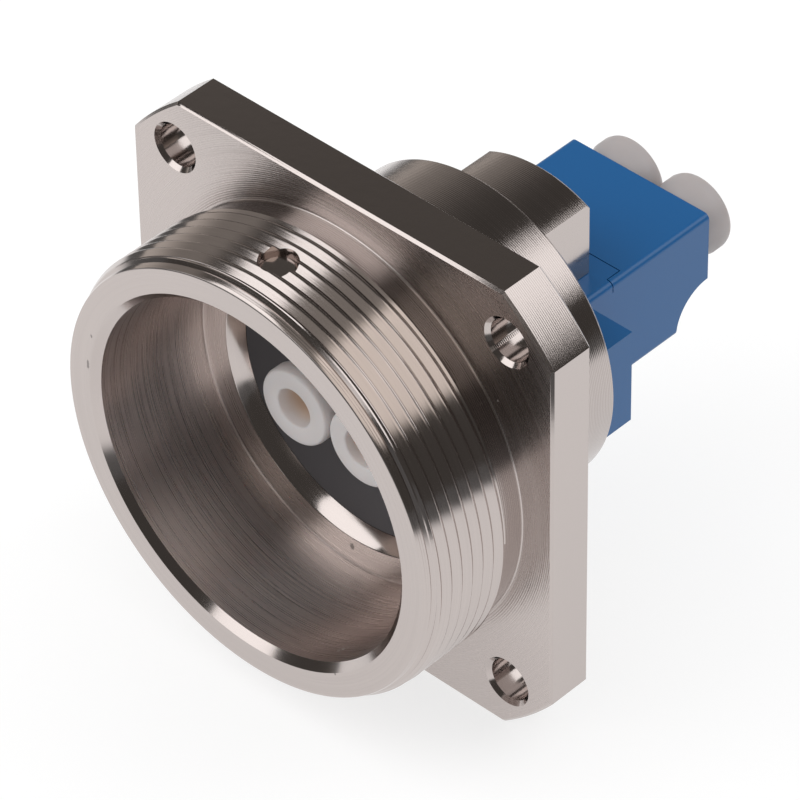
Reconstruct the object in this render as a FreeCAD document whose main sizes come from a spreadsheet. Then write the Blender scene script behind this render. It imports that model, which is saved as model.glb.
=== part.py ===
import FreeCAD, Part
import math
import os
import Sketcher

# Square-flange bulkhead receptacle with a duplex fibre adapter, in millimetres.
# The origin is the centre of the flange's rear face, where the panel comes. X points to the
# right as seen from the front, Y points to the rear through the panel, and Z points up.

# Driving sizes: alias, value, meaning.
SIZES = (
    ("flange_side", 38.0, "across the square flange"),
    ("flange_corner_trim", 2.87, "from the square's corner in to the circle that the corners are turned to"),
    ("flange_thick", 3.7, "flange, front to rear"),
    ("flange_edge", 0.25, "broken edge round both faces of the flange"),
    ("bolt_inset", 4.0, "from the flange's sides in to a flange hole's centre"),
    ("bolt_hole_dia", 3.3, "flange hole for an M3 screw"),
    ("bolt_hole_edge", 0.3, "broken edge at the front of a flange hole"),
    ("barrel_len", 9.5, "threaded barrel, from its rim to the flange's front"),
    ("crest_dia", 34.0, "barrel over the crests of its thread"),
    ("rim_dia", 32.8, "plain lead-in at the rim"),
    ("rim_len", 0.7, "length of that lead-in"),
    ("lead_chamfer", 0.6, "chamfer from the lead-in up to the crests"),
    ("relief_dia", 32.8, "thread relief beside the flange"),
    ("relief_len", 1.7, "length of that relief"),
    ("mouth_dia", 28.9, "chamfer at the barrel's mouth"),
    ("bore_dia", 27.8, "barrel's bore"),
    ("floor_depth", 10.3, "from the rim to the floor of the bore"),
    ("throat_dia", 23.3, "tapered throat where it leaves the floor"),
    ("seal_pocket_dia", 21.8, "pocket that holds the face seal"),
    ("throat_len", 1.15, "throat, from the floor to the seal's face"),
    ("seal_thick", 1.45, "face seal"),
    ("collar_dia", 24.8, "round collar behind the flange"),
    ("collar_len", 10.1, "collar, from the panel face to its rear"),
    ("collar_edge", 0.3, "broken rear edge of the collar"),
    ("tab_dia", 19.7, "spigot that the two rear tabs are milled from"),
    ("tab_width", 8.9, "across a rear tab"),
    ("tab_len", 6.1, "rear tab, from the collar's rear face"),
    ("tab_edge", 0.3, "broken rear edge of a tab"),
    ("key_dia", 2.8, "key pin"),
    ("key_setback", 4.0, "from the rim to the key pin's centre"),
    ("key_reach", 1.3, "key pin, into the bore"),
    ("key_sink", 0.7, "key pin's outer end, below the crests"),
    ("key_edge", 0.3, "chamfer at the key pin's ends"),
    ("body_width", 12.8, "adapter body"),
    ("axis_drop", 0.25, "ferrule axes below the barrel's axis"),
    ("body_top", 3.0, "from the ferrule axis up to the body's top"),
    ("body_bottom", 5.95, "from the ferrule axis down to the body's underside"),
    ("body_len", 26.8, "adapter body, front to rear"),
    ("body_edge", 0.45, "rounded long edges of the body"),
    ("window_gap", 0.05, "between the body and the window it sits in"),
    ("channel_pitch", 6.25, "ferrule axis to ferrule axis"),
    ("port_size", 4.6, "square port for a plug"),
    ("latch_width", 3.3, "channel for the plug's latch, below the port"),
    ("latch_depth", 5.1, "from the ferrule axis down to that channel's floor"),
    ("port_stop", 4.8, "from the body's middle to the floor of a port"),
    ("notch_radius", 3.25, "finger notch at the ends of the underside"),
    ("ear_end", 2.0, "from a clamp screw's axis out to the ear's end"),
    ("ear_top", 2.9, "from the ferrule axis up to the ears' top"),
    ("ear_thick", 3.5, "ears, front to rear"),
    ("ear_chamfer", 1.0, "lower outer corners of the ears"),
    ("lid_thick", 0.85, "lid over the middle of the body"),
    ("lid_len", 6.7, "lid, at the body's full width"),
    ("tongue_len", 1.3, "narrower tongue at each end of the lid"),
    ("tongue_width", 11.6, "across that tongue"),
    ("seam", 0.08, "gap round the lid"),
    ("chamber_width", 5.0, "chamber for a sleeve holder"),
    ("chamber_len", 6.0, "that chamber, front to rear"),
    ("chamber_depth", 2.4, "from the ferrule axis down to its floor"),
    ("holder_gap", 0.05, "between a sleeve holder and what holds it"),
    ("holder_tube_dia", 2.5, "tube of a sleeve holder"),
    ("holder_setback", 5.9, "from the body's end in to the end of that tube"),
    ("holder_mouth_dia", 1.4, "lip that keeps the sleeve in"),
    ("sleeve_bore", 1.25, "split sleeve, inside"),
    ("sleeve_dia", 1.62, "split sleeve, outside"),
    ("sleeve_len", 6.8, "split sleeve"),
    ("sleeve_slot", 0.45, "slot along the sleeve"),
    ("sleeve_play", 0.04, "between the sleeve and its holder"),
    ("screw_dia", 2.0, "clamp screw"),
    ("head_wall", 0.4, "from the body's side to a clamp screw's head"),
    ("screw_len", 12.0, "clamp screw below its head"),
    ("screw_head_dia", 3.8, "clamp screw's head"),
    ("screw_head_len", 1.3, "clamp screw's head, front to rear"),
    ("socket_flats", 1.3, "across the flats of its hexagon socket"),
    ("socket_depth", 0.8, "depth of that socket"),
    ("screw_clear_dia", 2.3, "hole for the screw in the metal"),
    ("head_pocket_dia", 4.2, "pocket for the screw's head"),
    ("head_pocket_len", 1.6, "depth of that pocket"),
    ("thread_play", 0.02, "between a fixed pin or screw and its hole"),
    ("cap_dia", 6.0, "dust cap's head"),
    ("cap_face_dia", 5.8, "dust cap's outer face"),
    ("cap_face_edge", 0.35, "from that face to the full head"),
    ("cap_rim", 1.15, "full head, from the outer face"),
    ("cap_head_len", 2.8, "dust cap's head, from face to shoulder"),
    ("cap_shoulder_dia", 4.8, "dust cap's head at its shoulder"),
    ("cap_neck_dia", 4.4, "dust cap's neck"),
    ("cap_neck_len", 7.2, "dust cap's neck, from the shoulder"),
    ("cap_neck_chamfer", 0.3, "chamfer at the neck's end"),
    ("cap_hole_dia", 2.96, "blind hole in the cap's face"),
    ("cap_hole_foot", 2.5, "that hole at its floor"),
    ("cap_hole_depth", 3.4, "depth of that hole"),
    ("cap_web", 1.0, "between the blind hole and the neck's bore"),
    ("cap_bore_dia", 2.8, "neck's bore, which goes over the holder's tube"),
    ("front_cap_pull", 2.05, "how far the front caps stand out of their seat"),
    ("rear_cap_gap", 0.05, "between a rear cap's shoulder and the body"),
    ("seal_window", 4.8, "square window in the face seal"),
    ("seal_window_radius", 1.0, "rounded corners of that window"),
)

doc = FreeCAD.newDocument("fibre_receptacle")
sheet = doc.addObject("Spreadsheet::Sheet", "sizes")
for row, (alias, value, meaning) in enumerate(SIZES, start=1):
    sheet.set(f"A{row}", alias)
    sheet.set(f"B{row}", str(value))
    sheet.set(f"C{row}", meaning)
    sheet.setAlias(f"B{row}", alias)
doc.recompute()

# Places along Y that several pieces share, worked out from the sheet.
FLANGE_FRONT = "(-sizes.flange_thick)"
RIM = "(-sizes.flange_thick - sizes.barrel_len)"
FLOOR = f"({RIM} + sizes.floor_depth)"
SEAL_FACE = f"({FLOOR} + sizes.throat_len)"
BODY_FRONT = f"({SEAL_FACE} + sizes.seal_thick)"
BODY_REAR = f"({BODY_FRONT} + sizes.body_len)"
BODY_MIDDLE = f"({BODY_FRONT} + sizes.body_len / 2)"
COLLAR_REAR = "sizes.collar_len"
TAB_REAR = "(sizes.collar_len + sizes.tab_len)"
KEY_PLACE = f"({RIM} + sizes.key_setback)"

# Places across the adapter. All but AXIS are measured from the ferrule axes.
AXIS = "(-sizes.axis_drop)"
LID_UNDERSIDE = "(sizes.body_top - sizes.lid_thick)"
SCREW_HEIGHT = "((sizes.body_top - sizes.body_bottom) / 2)"
SCREW_OUT = "(sizes.body_width / 2 + sizes.head_wall + sizes.screw_head_dia / 2)"
EAR_OUT = f"({SCREW_OUT} + sizes.ear_end)"
HALF_LID = "(sizes.lid_len / 2)"
HALF_TONGUE = "(sizes.lid_len / 2 + sizes.tongue_len)"
SIDES = (("left", -1), ("right", 1))

# The corners of a new outline start on a circle of this radius, before their sizes place them.
START_RADIUS = 10


def half(alias):
    return f"(sizes.{alias} / 2)"


def channel(side):
    """X of a ferrule axis: side is -1 or 1."""
    return f"({side} * sizes.channel_pitch / 2)"


def new_body(label):
    body = doc.addObject("PartDesign::Body", label)
    body.Label = label
    return body


def new_sketch(body, label, role, offset=None):
    """A sketch on one of the body's own origin planes, moved along its normal by offset."""
    sketch = body.newObject("Sketcher::SketchObject", label)
    plane = next(f for f in body.Origin.OriginFeatures if f.Role == role)
    sketch.AttachmentSupport = (plane, [""])
    sketch.MapMode = "FlatFace"
    if offset is not None:
        sketch.setExpression("AttachmentOffset.Base.z", offset)
    return sketch


def pin_point(sketch, line, end, place):
    """Holds one point of the sketch at a place given by two expressions; "0" is on the axis."""
    for kind, expression, axis in (("DistanceX", place[0], -2), ("DistanceY", place[1], -1)):
        if expression == "0":
            sketch.addConstraint(Sketcher.Constraint("PointOnObject", line, end, axis))
        else:
            start = sketch.getPoint(line, end)
            guess = start.x if kind == "DistanceX" else start.y
            index = sketch.addConstraint(Sketcher.Constraint(kind, -1, 1, line, end, guess))
            sketch.setExpression(f"Constraints[{index}]", expression)


def add_polygon(sketch, corners):
    """A closed outline through corners, each held by its own two sizes."""
    first = sketch.GeometryCount
    count = len(corners)
    spots = []
    for i in range(count):
        turn = 2 * math.pi * (i + 0.5) / count
        spots.append(FreeCAD.Vector(START_RADIUS * math.cos(turn), START_RADIUS * math.sin(turn), 0))
    for i in range(count):
        sketch.addGeometry(Part.LineSegment(spots[i], spots[(i + 1) % count]), False)
    for i in range(count):
        after = first + (i + 1) % count
        sketch.addConstraint(Sketcher.Constraint("Coincident", first + i, 2, after, 1))
    for i, corner in enumerate(corners):
        pin_point(sketch, first + i, 1, corner)


def add_circle(sketch, centre, radius):
    circle = Part.Circle(FreeCAD.Vector(1, 1, 0), FreeCAD.Vector(0, 0, 1), 1)
    index = sketch.addGeometry(circle, False)
    pin_point(sketch, index, 3, centre)
    size = sketch.addConstraint(Sketcher.Constraint("Radius", index, 1))
    sketch.setExpression(f"Constraints[{size}]", radius)


def rectangle(low_x, high_x, low_y, high_y):
    return [(low_x, low_y), (high_x, low_y), (high_x, high_y), (low_x, high_y)]


def pad(body, sketch, label, length):
    feature = body.newObject("PartDesign::Pad", label)
    feature.Profile = sketch
    feature.setExpression("Length", length)
    doc.recompute()
    return feature


def revolve(body, sketch, label):
    feature = body.newObject("PartDesign::Revolution", label)
    feature.Profile = sketch
    feature.ReferenceAxis = (sketch, ["V_Axis"])
    feature.Angle = 360
    doc.recompute()
    return feature


def cut(body, sketch, label, length=None, turned=False, both_ways=False):
    """A pocket; with no length it goes through all. It has to take something away."""
    before = body.Shape.Volume
    feature = body.newObject("PartDesign::Pocket", label)
    feature.Profile = sketch
    feature.Reversed = turned
    if length is None:
        feature.Type = "ThroughAll"
    else:
        feature.setExpression("Length", length)
    if both_ways:
        feature.SideType = "Symmetric"
    doc.recompute()
    if not body.Shape.Volume < before - 1e-6:
        raise RuntimeError(f"{label} cuts nothing")
    return feature


def dress(body, kind, label, base, wanted, size):
    """A chamfer or a fillet on the edges of base that wanted picks."""
    names = [f"Edge{i}" for i, edge in enumerate(base.Shape.Edges, start=1) if wanted(edge)]
    if not names:
        raise RuntimeError(f"{label} finds no edge")
    feature = body.newObject(f"PartDesign::{kind}", label)
    feature.Base = (base, names)
    feature.setExpression("Size" if kind == "Chamfer" else "Radius", size)
    doc.recompute()
    return feature


def near(first, second):
    return abs(first - second) < 1e-4


def lies_at_y(edge, y):
    box = edge.BoundBox
    return near(box.YMin, y) and near(box.YMax, y)


def runs_along_y(edge):
    box = edge.BoundBox
    return near(box.XLength, 0) and near(box.ZLength, 0)


def make_shell():
    """Turned and milled receptacle shell: flange, threaded barrel, collar and two rear tabs."""
    body = new_body("shell")

    square = new_sketch(body, "flange_outline", "XZ_Plane")
    edge = half("flange_side")
    add_polygon(square, rectangle(f"-{edge}", edge, f"-{edge}", edge))
    add_circle(square, ("0", "0"), "(sizes.relief_dia + sizes.bore_dia) / 4")
    plate = pad(body, square, "flange", "sizes.flange_thick")
    front = -sheet.flange_thick
    flange = dress(body, "Chamfer", "flange_edges", plate,
                   lambda e: isinstance(e.Curve, Part.Line) and not runs_along_y(e), "sizes.flange_edge")

    # The corners are turned to a circle: a ring that lies outside it is cut away, and its section
    # breaks the edges of both faces there.
    trim = new_sketch(body, "corner_ring", "XY_Plane")
    corner, beyond = f"({edge} * sqrt(2) - sizes.flange_corner_trim)", "sizes.flange_side"
    add_polygon(trim, [
        (corner, f"{FLANGE_FRONT} + sizes.flange_edge"),
        (f"{corner} - 2 * sizes.flange_edge", f"{FLANGE_FRONT} - sizes.flange_edge"),
        (beyond, f"{FLANGE_FRONT} - sizes.flange_edge"),
        (beyond, "sizes.flange_edge"),
        (f"{corner} - 2 * sizes.flange_edge", "sizes.flange_edge"),
        (corner, "-sizes.flange_edge"),
    ])
    corners = body.newObject("PartDesign::Groove", "corners")
    corners.Profile = trim
    corners.ReferenceAxis = (trim, ["V_Axis"])
    corners.Angle = 360
    doc.recompute()
    if not corners.Shape.Volume < flange.Shape.Volume:
        raise RuntimeError("corners cuts nothing")

    # The turned section from the axis outwards, as one half outline of radius and Y.
    section = new_sketch(body, "turned_section", "XY_Plane")
    crest = half("crest_dia")
    rim, relief, bore = half("rim_dia"), half("relief_dia"), half("bore_dia")
    mouth, pocket = half("mouth_dia"), half("seal_pocket_dia")
    collar, tab = half("collar_dia"), half("tab_dia")
    crest_start = f"{RIM} + sizes.rim_len + sizes.lead_chamfer"
    crest_end = f"{FLANGE_FRONT} - sizes.relief_len"
    add_polygon(section, [
        (mouth, RIM),
        (rim, RIM),
        (rim, f"{RIM} + sizes.rim_len"),
        (crest, crest_start),
        (crest, f"{crest_end} - ({crest} - {relief})"),
        (relief, crest_end),
        (relief, "0"),
        (collar, "0"),
        (collar, f"{COLLAR_REAR} - sizes.collar_edge"),
        (f"{collar} - sizes.collar_edge", COLLAR_REAR),
        (tab, COLLAR_REAR),
        (tab, f"{TAB_REAR} - sizes.tab_edge"),
        (f"{tab} - sizes.tab_edge", TAB_REAR),
        ("0", TAB_REAR),
        ("0", BODY_FRONT),
        (pocket, BODY_FRONT),
        (pocket, SEAL_FACE),
        (half("throat_dia"), FLOOR),
        (bore, FLOOR),
        (bore, f"{RIM} + ({mouth} - {bore})"),
    ])
    revolve(body, section, "turned_form")

    # Milling: two flats leave the tabs, and a window takes the adapter.
    flats = new_sketch(body, "tab_flats", "XY_Plane")
    for side in (-1, 1):
        add_polygon(flats, rectangle(f"{side} * sizes.tab_width / 2", f"{side} * sizes.collar_dia / 2",
                                     COLLAR_REAR, f"{TAB_REAR} + 1"))
    cut(body, flats, "milled_flats", both_ways=True)
    window = new_sketch(body, "adapter_window", "XZ_Plane")
    wide = "(sizes.body_width / 2 + sizes.window_gap)"
    add_polygon(window, rectangle(f"-{wide}", wide, f"{AXIS} - sizes.body_bottom - sizes.window_gap",
                                  f"{AXIS} + sizes.body_top + sizes.window_gap"))
    cut(body, window, "window", both_ways=True)

    # Holes for the clamp screws, with a pocket each for the head.
    clearance, pockets = (new_sketch(body, "clamp_holes", "XZ_Plane"),
                          new_sketch(body, "head_circles", "XZ_Plane", f"-{BODY_FRONT}"))
    for side in (-1, 1):
        centre = (f"{side} * {SCREW_OUT}", f"{AXIS} + {SCREW_HEIGHT}")
        add_circle(clearance, centre, half("screw_clear_dia"))
        add_circle(pockets, centre, half("head_pocket_dia"))
    cut(body, clearance, "clamp_screw_holes", both_ways=True)
    cut(body, pockets, "head_pockets", "sizes.head_pocket_len")

    # Four flange holes, with their front edges broken.
    bolts = new_sketch(body, "bolt_circles", "XZ_Plane")
    bolt_out = "(sizes.flange_side / 2 - sizes.bolt_inset)"
    for x in (-1, 1):
        for z in (-1, 1):
            add_circle(bolts, (f"{x} * {bolt_out}", f"{z} * {bolt_out}"), half("bolt_hole_dia"))
    holes = cut(body, bolts, "bolt_holes", both_ways=True)
    hole_radius = sheet.bolt_hole_dia / 2

    def front_hole_edge(edge):
        round_edge = isinstance(edge.Curve, Part.Circle) and near(edge.Curve.Radius, hole_radius)
        return round_edge and lies_at_y(edge, front)

    dress(body, "Chamfer", "bolt_hole_edges", holes, front_hole_edge, "sizes.bolt_hole_edge")

    # The key pin's hole goes through the barrel's wall at the top.
    key = new_sketch(body, "key_circle", "XY_Plane")
    add_circle(key, ("0", KEY_PLACE), f"{half('key_dia')} + sizes.thread_play")
    cut(body, key, "key_hole", turned=True)
    return body


def make_key_pin():
    """Pressed-in pin that keys the mating plug; it stands into the bore."""
    body = new_body("key_pin")
    section = new_sketch(body, "pin_section", "XZ_Plane")
    low = f"({half('bore_dia')} - sizes.key_reach)"
    high = f"({half('crest_dia')} - sizes.key_sink)"
    radius = half("key_dia")
    add_polygon(section, [
        ("0", low),
        (f"{radius} - sizes.key_edge", low),
        (radius, f"{low} + sizes.key_edge"),
        (radius, f"{high} - sizes.key_edge"),
        (f"{radius} - sizes.key_edge", high),
        ("0", high),
    ])
    revolve(body, section, "pin")
    body.setExpression("Placement.Base.y", KEY_PLACE)
    return body


def make_face_seal():
    """Rubber disc on the front of the adapter, with a window for each plug."""
    body = new_body("face_seal")
    outline = new_sketch(body, "seal_outline", "XZ_Plane", f"-{BODY_FRONT}")
    add_circle(outline, ("0", "0"), f"{half('seal_pocket_dia')} - sizes.window_gap")
    for side in (-1, 1):
        low = f"{channel(side)} - sizes.seal_window / 2"
        high = f"{channel(side)} + sizes.seal_window / 2"
        add_polygon(outline, rectangle(low, high, f"{AXIS} - sizes.seal_window / 2",
                                       f"{AXIS} + sizes.seal_window / 2"))
    disc = pad(body, outline, "disc", "sizes.seal_thick")

    # Every edge along Y is a corner of a window, but for the disc's own seam at Z 0.
    dress(body, "Fillet", "window_corners", disc,
          lambda e: runs_along_y(e) and not near(e.BoundBox.ZMin, 0), "sizes.seal_window_radius")
    return body


def port_outline(side):
    """Square port with the latch's channel below it, as seen from the end."""
    port, latch = "sizes.port_size / 2", "sizes.latch_width / 2"
    x = channel(side)
    return [
        (f"{x} - {port}", port),
        (f"{x} - {port}", f"-{port}"),
        (f"{x} - {latch}", f"-{port}"),
        (f"{x} - {latch}", "-sizes.latch_depth"),
        (f"{x} + {latch}", "-sizes.latch_depth"),
        (f"{x} + {latch}", f"-{port}"),
        (f"{x} + {port}", f"-{port}"),
        (f"{x} + {port}", port),
    ]


def lid_plan(gap, wide):
    """Plan of the lid: full width in the middle and a narrower tongue at each end."""
    tongue = f"(sizes.tongue_width / 2 + {gap})"
    near_end = f"({HALF_LID} + {gap})"
    far_end = f"({HALF_TONGUE} + {gap})"
    steps = [(wide, near_end), (tongue, near_end), (tongue, far_end)]
    plan = [(x, f"{BODY_MIDDLE} + {y}") for x, y in steps]
    plan += [(f"-{x}", f"{BODY_MIDDLE} + {y}") for x, y in reversed(steps)]
    plan += [(f"-{x}", f"{BODY_MIDDLE} - {y}") for x, y in steps]
    plan += [(x, f"{BODY_MIDDLE} - {y}") for x, y in reversed(steps)]
    return plan


def make_adapter_body():
    """Moulded duplex body: ports at both ends, a flange with two ears and chambers under a lid."""
    body = new_body("adapter_body")
    block = new_sketch(body, "body_outline", "XZ_Plane", f"-{BODY_REAR}")
    wide = half("body_width")
    add_polygon(block, rectangle(f"-{wide}", wide, "-sizes.body_bottom", "sizes.body_top"))
    prism = pad(body, block, "body_block", "sizes.body_len")
    dress(body, "Fillet", "body_edges", prism, runs_along_y, "sizes.body_edge")

    ears = new_sketch(body, "ear_outline", "XZ_Plane", f"-({COLLAR_REAR} + sizes.ear_thick)")
    span, low = EAR_OUT, "-sizes.body_bottom"
    add_polygon(ears, [
        (f"-{span}", "sizes.ear_top"),
        (f"-{span}", f"{low} + sizes.ear_chamfer"),
        (f"-{span} + sizes.ear_chamfer", low),
        (f"{span} - sizes.ear_chamfer", low),
        (span, f"{low} + sizes.ear_chamfer"),
        (span, "sizes.ear_top"),
    ])
    pad(body, ears, "ears", "sizes.ear_thick")

    rebate = new_sketch(body, "lid_rebate_plan", "XY_Plane", LID_UNDERSIDE)
    add_polygon(rebate, lid_plan("sizes.seam", wide))
    cut(body, rebate, "lid_rebate", turned=True)

    rear, front = (new_sketch(body, "rear_port_outlines", "XZ_Plane", f"-{BODY_REAR}"),
                   new_sketch(body, "front_port_outlines", "XZ_Plane", f"-{BODY_FRONT}"))
    for side in (-1, 1):
        add_polygon(rear, port_outline(side))
        add_polygon(front, port_outline(side))
    depth = "sizes.body_len / 2 - sizes.port_stop"
    cut(body, rear, "rear_ports", depth, turned=True)
    cut(body, front, "front_ports", depth)

    # Chambers for the sleeve holders, open at the top, with slots that let their tubes in.
    chambers = new_sketch(body, "chamber_plan", "XY_Plane", LID_UNDERSIDE)
    slots = new_sketch(body, "tube_slot_plan", "XY_Plane", LID_UNDERSIDE)
    tubes = new_sketch(body, "tube_circles", "XZ_Plane")
    tube = "(sizes.holder_tube_dia / 2 + sizes.holder_gap)"
    for side in (-1, 1):
        x = channel(side)
        add_polygon(chambers, rectangle(f"{x} - sizes.chamber_width / 2", f"{x} + sizes.chamber_width / 2",
                                        f"{BODY_MIDDLE} - sizes.chamber_len / 2",
                                        f"{BODY_MIDDLE} + sizes.chamber_len / 2"))
        add_polygon(slots, rectangle(f"{x} - {tube}", f"{x} + {tube}",
                                     f"{BODY_MIDDLE} - sizes.port_stop", f"{BODY_MIDDLE} + sizes.port_stop"))
        add_circle(tubes, (x, "0"), tube)
    cut(body, chambers, "chambers", f"{LID_UNDERSIDE} + sizes.chamber_depth")
    cut(body, slots, "tube_slots", LID_UNDERSIDE)
    cut(body, tubes, "tube_holes", both_ways=True)

    notches = new_sketch(body, "notch_circles", "YZ_Plane")
    for place in (BODY_FRONT, BODY_REAR):
        add_circle(notches, (place, "-sizes.body_bottom"), "sizes.notch_radius")
    cut(body, notches, "finger_notches", both_ways=True)

    taps = new_sketch(body, "tapped_circles", "XZ_Plane")
    for side in (-1, 1):
        add_circle(taps, (f"{side} * {SCREW_OUT}", SCREW_HEIGHT),
                   f"{half('screw_dia')} + sizes.thread_play")
    cut(body, taps, "tapped_holes", both_ways=True)
    body.setExpression("Placement.Base.z", AXIS)
    return body


def make_adapter_lid():
    """Lid that closes the chambers once the sleeves are in; its top edges carry on the body's."""
    body = new_body("adapter_lid")
    plan = new_sketch(body, "lid_outline", "XY_Plane", LID_UNDERSIDE)
    wide = half("body_width")
    add_polygon(plan, lid_plan("0", wide))
    plate = pad(body, plan, "lid_plate", "sizes.lid_thick")
    side, top = sheet.body_width / 2, sheet.body_top
    dress(body, "Fillet", "lid_edges", plate,
          lambda e: runs_along_y(e) and near(abs(e.BoundBox.XMin), side) and near(e.BoundBox.ZMin, top),
          "sizes.body_edge")
    body.setExpression("Placement.Base.z", AXIS)
    return body


def bound(kind, label, sizes):
    """A Part primitive whose sizes and place are bound to the sheet."""
    thing = doc.addObject(kind, label)
    for name, expression in sizes.items():
        thing.setExpression(name, expression)
    return thing


def along_y(thing):
    """Turns a primitive that is built along Z so that it runs along Y, and keeps its place bound."""
    thing.setExpression("Placement.Rotation.Axis.x", "1")
    thing.setExpression("Placement.Rotation.Axis.y", "0")
    thing.setExpression("Placement.Rotation.Axis.z", "0")
    thing.setExpression("Placement.Rotation.Angle", "-90")
    return thing


def make_sleeve_holder(name, side, end):
    """Half of a sleeve holder: a block in its chamber, a tube into the port and a lip at its end."""
    x = channel(side)
    block_len = "(sizes.chamber_len / 2 - sizes.holder_gap)"
    near_face = BODY_MIDDLE if end > 0 else f"({BODY_MIDDLE} - {block_len})"
    reach = "(sizes.body_len / 2 - sizes.holder_setback)"
    tube_start = BODY_MIDDLE if end > 0 else f"({BODY_MIDDLE} - {reach})"
    seat = "(sizes.sleeve_len / 2 + sizes.holder_gap)"
    seat_start = BODY_MIDDLE if end > 0 else f"({BODY_MIDDLE} - {seat})"
    block = bound("Part::Box", f"{name}_block", {
        "Length": "sizes.chamber_width - 2 * sizes.holder_gap",
        "Width": block_len,
        "Height": f"{LID_UNDERSIDE} + sizes.chamber_depth - 2 * sizes.holder_gap",
        "Placement.Base.x": f"{x} - sizes.chamber_width / 2 + sizes.holder_gap",
        "Placement.Base.y": near_face,
        "Placement.Base.z": f"{AXIS} - sizes.chamber_depth + sizes.holder_gap",
    })
    tube = along_y(bound("Part::Cylinder", f"{name}_tube", {
        "Radius": half("holder_tube_dia"), "Height": reach,
        "Placement.Base.x": x, "Placement.Base.y": tube_start, "Placement.Base.z": AXIS,
    }))
    mouth = along_y(bound("Part::Cylinder", f"{name}_mouth", {
        "Radius": half("holder_mouth_dia"), "Height": reach,
        "Placement.Base.x": x, "Placement.Base.y": tube_start, "Placement.Base.z": AXIS,
    }))
    seat_bore = along_y(bound("Part::Cylinder", f"{name}_seat", {
        "Radius": f"{half('sleeve_dia')} + sizes.sleeve_play", "Height": seat,
        "Placement.Base.x": x, "Placement.Base.y": seat_start, "Placement.Base.z": AXIS,
    }))
    solid = doc.addObject("Part::Fuse", f"{name}_solid")
    solid.Base, solid.Tool = block, tube
    hollow = doc.addObject("Part::Fuse", f"{name}_hollow")
    hollow.Base, hollow.Tool = mouth, seat_bore
    holder = doc.addObject("Part::Cut", name)
    holder.Base, holder.Tool = solid, hollow
    holder.Label = name
    return holder


def make_ferrule_sleeve(name, side):
    """Split ceramic sleeve that lines up the two ferrules."""
    x = channel(side)
    start = f"({BODY_MIDDLE} - sizes.sleeve_len / 2)"
    place = {"Height": "sizes.sleeve_len",
             "Placement.Base.x": x, "Placement.Base.y": start, "Placement.Base.z": AXIS}
    outside = along_y(bound("Part::Cylinder", f"{name}_outside", {"Radius": half("sleeve_dia"), **place}))
    inside = along_y(bound("Part::Cylinder", f"{name}_inside", {"Radius": half("sleeve_bore"), **place}))
    slot = bound("Part::Box", f"{name}_slot", {
        "Length": "sizes.sleeve_slot", "Width": "sizes.sleeve_len", "Height": "sizes.sleeve_dia",
        "Placement.Base.x": f"{x} - sizes.sleeve_slot / 2",
        "Placement.Base.y": start, "Placement.Base.z": AXIS,
    })
    tube = doc.addObject("Part::Cut", f"{name}_tube")
    tube.Base, tube.Tool = outside, inside
    sleeve = doc.addObject("Part::Cut", name)
    sleeve.Base, sleeve.Tool = tube, slot
    sleeve.Label = name
    return sleeve


def make_clamp_screw(name, side):
    """Socket screw that pulls the adapter's ear against the collar from inside."""
    body = new_body(name)
    section = new_sketch(body, f"{name}_section", "XY_Plane")
    head, shank = half("screw_head_dia"), half("screw_dia")
    point = "sizes.screw_dia / 4"
    add_polygon(section, [
        ("0", "-sizes.screw_head_len"),
        (head, "-sizes.screw_head_len"),
        (head, "0"),
        (shank, "0"),
        (shank, f"sizes.screw_len - {point}"),
        (point, "sizes.screw_len"),
        ("0", "sizes.screw_len"),
    ])
    revolve(body, section, f"{name}_turned")
    socket = new_sketch(body, f"{name}_hexagon", "XZ_Plane", "sizes.screw_head_len")
    corner = "sizes.socket_flats / sqrt(3)"
    add_polygon(socket, [
        (f"{corner} * cos({60 * i}deg)" if i != 0 else corner,
         f"{corner} * sin({60 * i}deg)" if i % 3 else "0")
        for i in range(6)
    ])
    cut(body, socket, f"{name}_socket", "sizes.socket_depth")
    body.setExpression("Placement.Base.x", f"{side} * {SCREW_OUT}")
    body.setExpression("Placement.Base.y", f"{BODY_FRONT} + sizes.head_pocket_len")
    body.setExpression("Placement.Base.z", f"{AXIS} + {SCREW_HEIGHT}")
    return body


def make_dust_cap(name, side, end):
    """Soft cap: a head with a blind hole and a hollow neck that plugs the port."""
    body = new_body(name)
    section = new_sketch(body, f"{name}_section", "XY_Plane")
    head, face, shoulder = half("cap_dia"), half("cap_face_dia"), half("cap_shoulder_dia")
    neck, bore = half("cap_neck_dia"), half("cap_bore_dia")
    length = "(sizes.cap_head_len + sizes.cap_neck_len)"
    web_end = "(sizes.cap_hole_depth + sizes.cap_web)"
    add_polygon(section, [
        (half("cap_hole_dia"), "0"),
        (face, "0"),
        (head, "sizes.cap_face_edge"),
        (head, "sizes.cap_rim"),
        (shoulder, "sizes.cap_head_len"),
        (neck, "sizes.cap_head_len"),
        (neck, f"{length} - sizes.cap_neck_chamfer"),
        (f"{neck} - sizes.cap_neck_chamfer", length),
        (bore, length),
        (bore, web_end),
        ("0", web_end),
        ("0", "sizes.cap_hole_depth"),
        (half("cap_hole_foot"), "sizes.cap_hole_depth"),
    ])
    revolve(body, section, f"{name}_turned")
    body.setExpression("Placement.Base.x", channel(side))
    body.setExpression("Placement.Base.z", AXIS)
    if end < 0:
        seated = f"{BODY_FRONT} - sizes.cap_head_len - sizes.front_cap_pull"
        body.setExpression("Placement.Base.y", seated)
    else:
        body.setExpression("Placement.Rotation.Angle", "180")
        body.setExpression("Placement.Base.y", f"{BODY_REAR} + sizes.rear_cap_gap + sizes.cap_head_len")
    return body


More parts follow.
